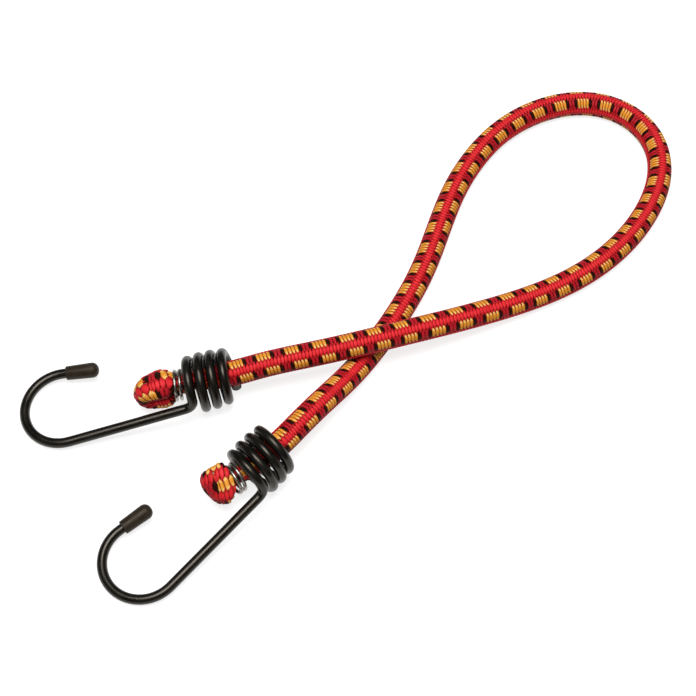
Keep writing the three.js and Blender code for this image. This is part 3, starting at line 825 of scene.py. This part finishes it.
def hook_line():
    """Points of one hook from its tip to the end of its coil, with the direction outwards from each bend."""
    tip_reach = np.linspace(TIP_STRAIGHT + cap_bore_depth, 0, SHANK_STEPS, endpoint=False)[:, None]
    tip_outward = np.array([[math.cos(tip_angle), math.sin(tip_angle), 0]])
    centre = np.array([-hook_reach, HOOK_RADIUS - COIL_FRONT_RADIUS, 0])
    tip = centre + HOOK_RADIUS * tip_outward + tip_reach * tip_direction
    sweep_steps = round(STEPS_PER_TURN * HOOK_SWEEP / (2 * math.pi))
    sweep = np.linspace(tip_angle, tip_angle + HOOK_SWEEP, sweep_steps, endpoint=False)
    crook_outward = np.stack([np.cos(sweep), np.sin(sweep), 0 * sweep], axis=1)
    crook = centre + HOOK_RADIUS * crook_outward
    shank_x = np.linspace(-hook_reach, shank_end, SHANK_STEPS, endpoint=False)
    shank = np.stack([shank_x, 0 * shank_x - COIL_FRONT_RADIUS, 0 * shank_x], axis=1)
    turned = np.linspace(0, math.pi / 2 - helix_slope, BEND_STEPS, endpoint=False)
    bend_angle = SHANK_BEND_RADIUS * (1 - np.cos(turned)) / COIL_FRONT_RADIUS
    bend = round_coil(shank_end + SHANK_BEND_RADIUS * np.sin(turned), bend_angle, COIL_FRONT_RADIUS)
    coil_angle = np.linspace(coil_entry_angle, coil_end_angle, round(COIL_TURNS * STEPS_PER_TURN))
    coil = round_coil(coil_advance * coil_angle, coil_angle, coil_radius(coil_angle))
    round_angles = np.concatenate([0 * shank_x, bend_angle, coil_angle])
    points = np.concatenate([tip, crook, shank, bend, coil])
    tip_outwards = np.repeat(tip_outward, len(tip), axis=0)
    outward = np.concatenate([tip_outwards, crook_outward, round_coil(0 * round_angles, round_angles, 1)])
    return points, outward


hook_points, hook_outward = hook_line()
steel_values = {"Colour": STEEL_COLOUR, "Dull colour": STEEL_DULL}
steel, shader = finish_with("drawn_steel", metal, steel_values, bump_depth=0.00004, bump_strength=0.5)
shader.inputs["Metallic"].default_value = 1
for letter, end in ENDS.items():
    wire = new_shape()
    add_wire(wire, end["hook_frame"], hook_points, hook_outward, WIRE_RADIUS, WIRE_SIDES)
    close_ends(wire)
    piece(f"steel_wire_{letter}", wire, steel, f"hook_{letter}", "hook_steel", f"hook_wire_{letter}")


# Hook coating
# A skin of black plastic over the whole wire, put on before the wire is bent, and cut off with it at the end
# of the coil.
COATING_RADIUS = 0.00155
COATING_WALL = 0.0004
COATING_SIDES = 20
COATING_EDGE_ROUND = 0.00015
COATING_EDGE_STEPS = 3
SHARP_EDGE = math.radians(60)
BLACK_COLOUR = (0.0024, 0.0022, 0.0017, 1)
BLACK_DULL = (0.0048, 0.0044, 0.0035, 1)
COATING_SPECULAR = 0.42
WARM_HIGHLIGHT = (1, 0.9, 0.76, 1)

black_values = {
    "Colour": BLACK_COLOUR,
    "Dull colour": BLACK_DULL,
    "Least roughness": 0.24,
    "Most roughness": 0.36,
}
black_coating, shader = finish_with(
    "black_coating",
    skin,
    black_values,
    bump_depth=0.00003,
    bump_strength=0.1,
)
shader.inputs["Specular IOR Level"].default_value = COATING_SPECULAR
shader.inputs["Specular Tint"].default_value = WARM_HIGHLIGHT
for letter, end in ENDS.items():
    coating = new_shape()
    add_wire(coating, end["hook_frame"], hook_points, hook_outward, COATING_RADIUS, COATING_SIDES)
    bmesh.ops.recalc_face_normals(coating, faces=coating.faces)
    bmesh.ops.solidify(coating, geom=coating.faces, thickness=COATING_WALL)
    rims = [edge for edge in coating.edges if edge.calc_face_angle() > SHARP_EDGE]
    bmesh.ops.bevel(
        coating,
        geom=rims,
        offset=COATING_EDGE_ROUND,
        segments=COATING_EDGE_STEPS,
        profile=0.5,
        affect="EDGES",
        material=-1,
    )
    node = f"hook_coating_{letter}"
    piece(f"coating_{letter}", coating, black_coating, f"hook_{letter}", "black_coating", node)


# Tip caps
# A dipped cap of soft dark plastic pushed over the point of each hook, closed and rounded at its head, where
# it is a little fatter than at its mouth.
CAP_BORE_RADIUS = 0.00162
CAP_MOUTH_RADIUS = 0.00218
CAP_HEAD_RADIUS = 0.00238
CAP_GAP = 0.00015
CAP_HEAD_ROUND = 0.0021
CAP_MOUTH_ROUND = 0.0003
CAP_ROUND_STEPS = 8
CAP_TURN_STEPS = 40
CAP_COLOUR = (0.022, 0.0163, 0.0101, 1)
CAP_DULL = (0.033, 0.025, 0.016, 1)
CAP_SPECULAR = 0.2

cap_values = {
    "Colour": CAP_COLOUR,
    "Dull colour": CAP_DULL,
    "Least roughness": 0.36,
    "Most roughness": 0.5,
}
cap_plastic, shader = finish_with("cap_plastic", skin, cap_values, bump_depth=0.00004, bump_strength=0.5)
shader.inputs["Specular IOR Level"].default_value = CAP_SPECULAR
shader.inputs["Specular Tint"].default_value = WARM_HIGHLIGHT


def cap_outline():
    """Half the cap's section, from the bottom of its bore to the middle of its head: radius and place along
    the cap."""
    outline = [(0, cap_bore_depth), (CAP_BORE_RADIUS, cap_bore_depth), (CAP_BORE_RADIUS, 0)]
    quarter_turn = [math.pi / 2 * step / CAP_ROUND_STEPS for step in range(CAP_ROUND_STEPS + 1)]
    for angle in quarter_turn:
        radius = CAP_MOUTH_RADIUS - CAP_MOUTH_ROUND * (1 - math.sin(angle))
        outline.append((radius, CAP_MOUTH_ROUND * (1 - math.cos(angle))))
    for angle in quarter_turn:
        radius = CAP_HEAD_RADIUS - CAP_HEAD_ROUND * (1 - math.cos(angle))
        outline.append((radius, CAP_LENGTH - CAP_HEAD_ROUND * (1 - math.sin(angle))))
    outline.append((0, CAP_LENGTH))
    return outline


cap_start = hook_points[0] + (CAP_GAP - cap_bore_depth) * tip_direction
cap_turn = Vector((0, 0, 1)).rotation_difference(Vector(tip_direction))
cap_place = Matrix.Translation(cap_start) @ cap_turn.to_matrix().to_4x4()
for letter, end in ENDS.items():
    cap = new_shape()
    corners = [cap.verts.new((radius, 0, along)) for radius, along in cap_outline()]
    edges = [cap.edges.new(pair) for pair in zip(corners, corners[1:])]
    bmesh.ops.spin(
        cap,
        geom=corners + edges,
        cent=(0, 0, 0),
        axis=(0, 0, 1),
        angle=2 * math.pi,
        steps=CAP_TURN_STEPS,
        use_merge=True,
    )
    bmesh.ops.remove_doubles(cap, verts=cap.verts, dist=SEAM_WELD)
    bmesh.ops.transform(cap, matrix=end["hook_frame"] @ cap_place, verts=cap.verts)
    piece(f"cap_{letter}", cap, cap_plastic, f"hook_{letter}", "cap_plastic", f"tip_cap_{letter}")


# Table and light
# A plain table top under one large softbox. The table glows white to the camera and in reflections, and
# keeps the soft shadow of the cord.
WHITE = (1, 1, 1, 1)
TABLE_SIZE = 40
TABLE_COLOUR = (0.45, 0.45, 0.45, 1)
TABLE_ROUGHNESS = 0.9
ROOM_LIGHT = 0.12
SOFTBOX_PLACE = (0.0, -0.06, 1.2)
SOFTBOX_SIZE = 0.78
SOFTBOX_POWER = 15.5

# The glow is weaker near the cord, where the softbox adds its own light to it
GLOW_DISTANCES = (0.25, 1.2)
GLOW_STRENGTHS = (0.8, 1)

table_top = bmesh.new()
bmesh.ops.create_grid(table_top, x_segments=1, y_segments=1, size=TABLE_SIZE / 2)
table_mesh = bpy.data.meshes.new("table")
table_top.to_mesh(table_mesh)
table_top.free()
table = bpy.data.objects.new("table", table_mesh)
scene.collection.objects.link(table)


def seen_directly(tree):
    """1 for camera, glossy and transmission rays, 0 for the light that falls on the object."""
    rays = tree.nodes.new("ShaderNodeLightPath").outputs
    camera_or_glossy = worked_out(tree, "MAXIMUM", rays["Is Camera Ray"], rays["Is Glossy Ray"])
    return worked_out(tree, "MAXIMUM", camera_or_glossy, rays["Is Transmission Ray"])


white_table = bpy.data.materials.new("white_table")
white_table.use_nodes = True
tree = white_table.node_tree
shader = tree.nodes["Principled BSDF"]
shader.inputs["Base Color"].default_value = TABLE_COLOUR
shader.inputs["Roughness"].default_value = TABLE_ROUGHNESS
shader.inputs["Specular IOR Level"].default_value = 0
shader.inputs["Emission Color"].default_value = WHITE
distance = tree.nodes.new("ShaderNodeVectorMath")
distance.operation = "LENGTH"
tree.links.new(tree.nodes.new("ShaderNodeTexCoord").outputs["Object"], distance.inputs[0])
brightness = ranged(tree, distance.outputs["Value"], GLOW_DISTANCES, GLOW_STRENGTHS)
glow = worked_out(tree, "MULTIPLY", seen_directly(tree), brightness)
tree.links.new(glow, shader.inputs["Emission Strength"])
table_mesh.materials.append(white_table)

world = bpy.data.worlds.new("studio")
world.use_nodes = True
scene.world = world
background = world.node_tree.nodes["Background"]
background.inputs["Color"].default_value = WHITE
background.inputs["Strength"].default_value = ROOM_LIGHT

softbox_light = bpy.data.lights.new("overhead_softbox", "AREA")
softbox_light.shape = "DISK"
softbox_light.size = SOFTBOX_SIZE
softbox_light.energy = SOFTBOX_POWER
softbox = bpy.data.objects.new("overhead_softbox", softbox_light)
softbox.location = SOFTBOX_PLACE
softbox.rotation_euler = (CAMERA_TARGET - softbox.location).to_track_quat("-Z", "Y").to_euler()
scene.collection.objects.link(softbox)

scene.view_settings.view_transform = "Standard"
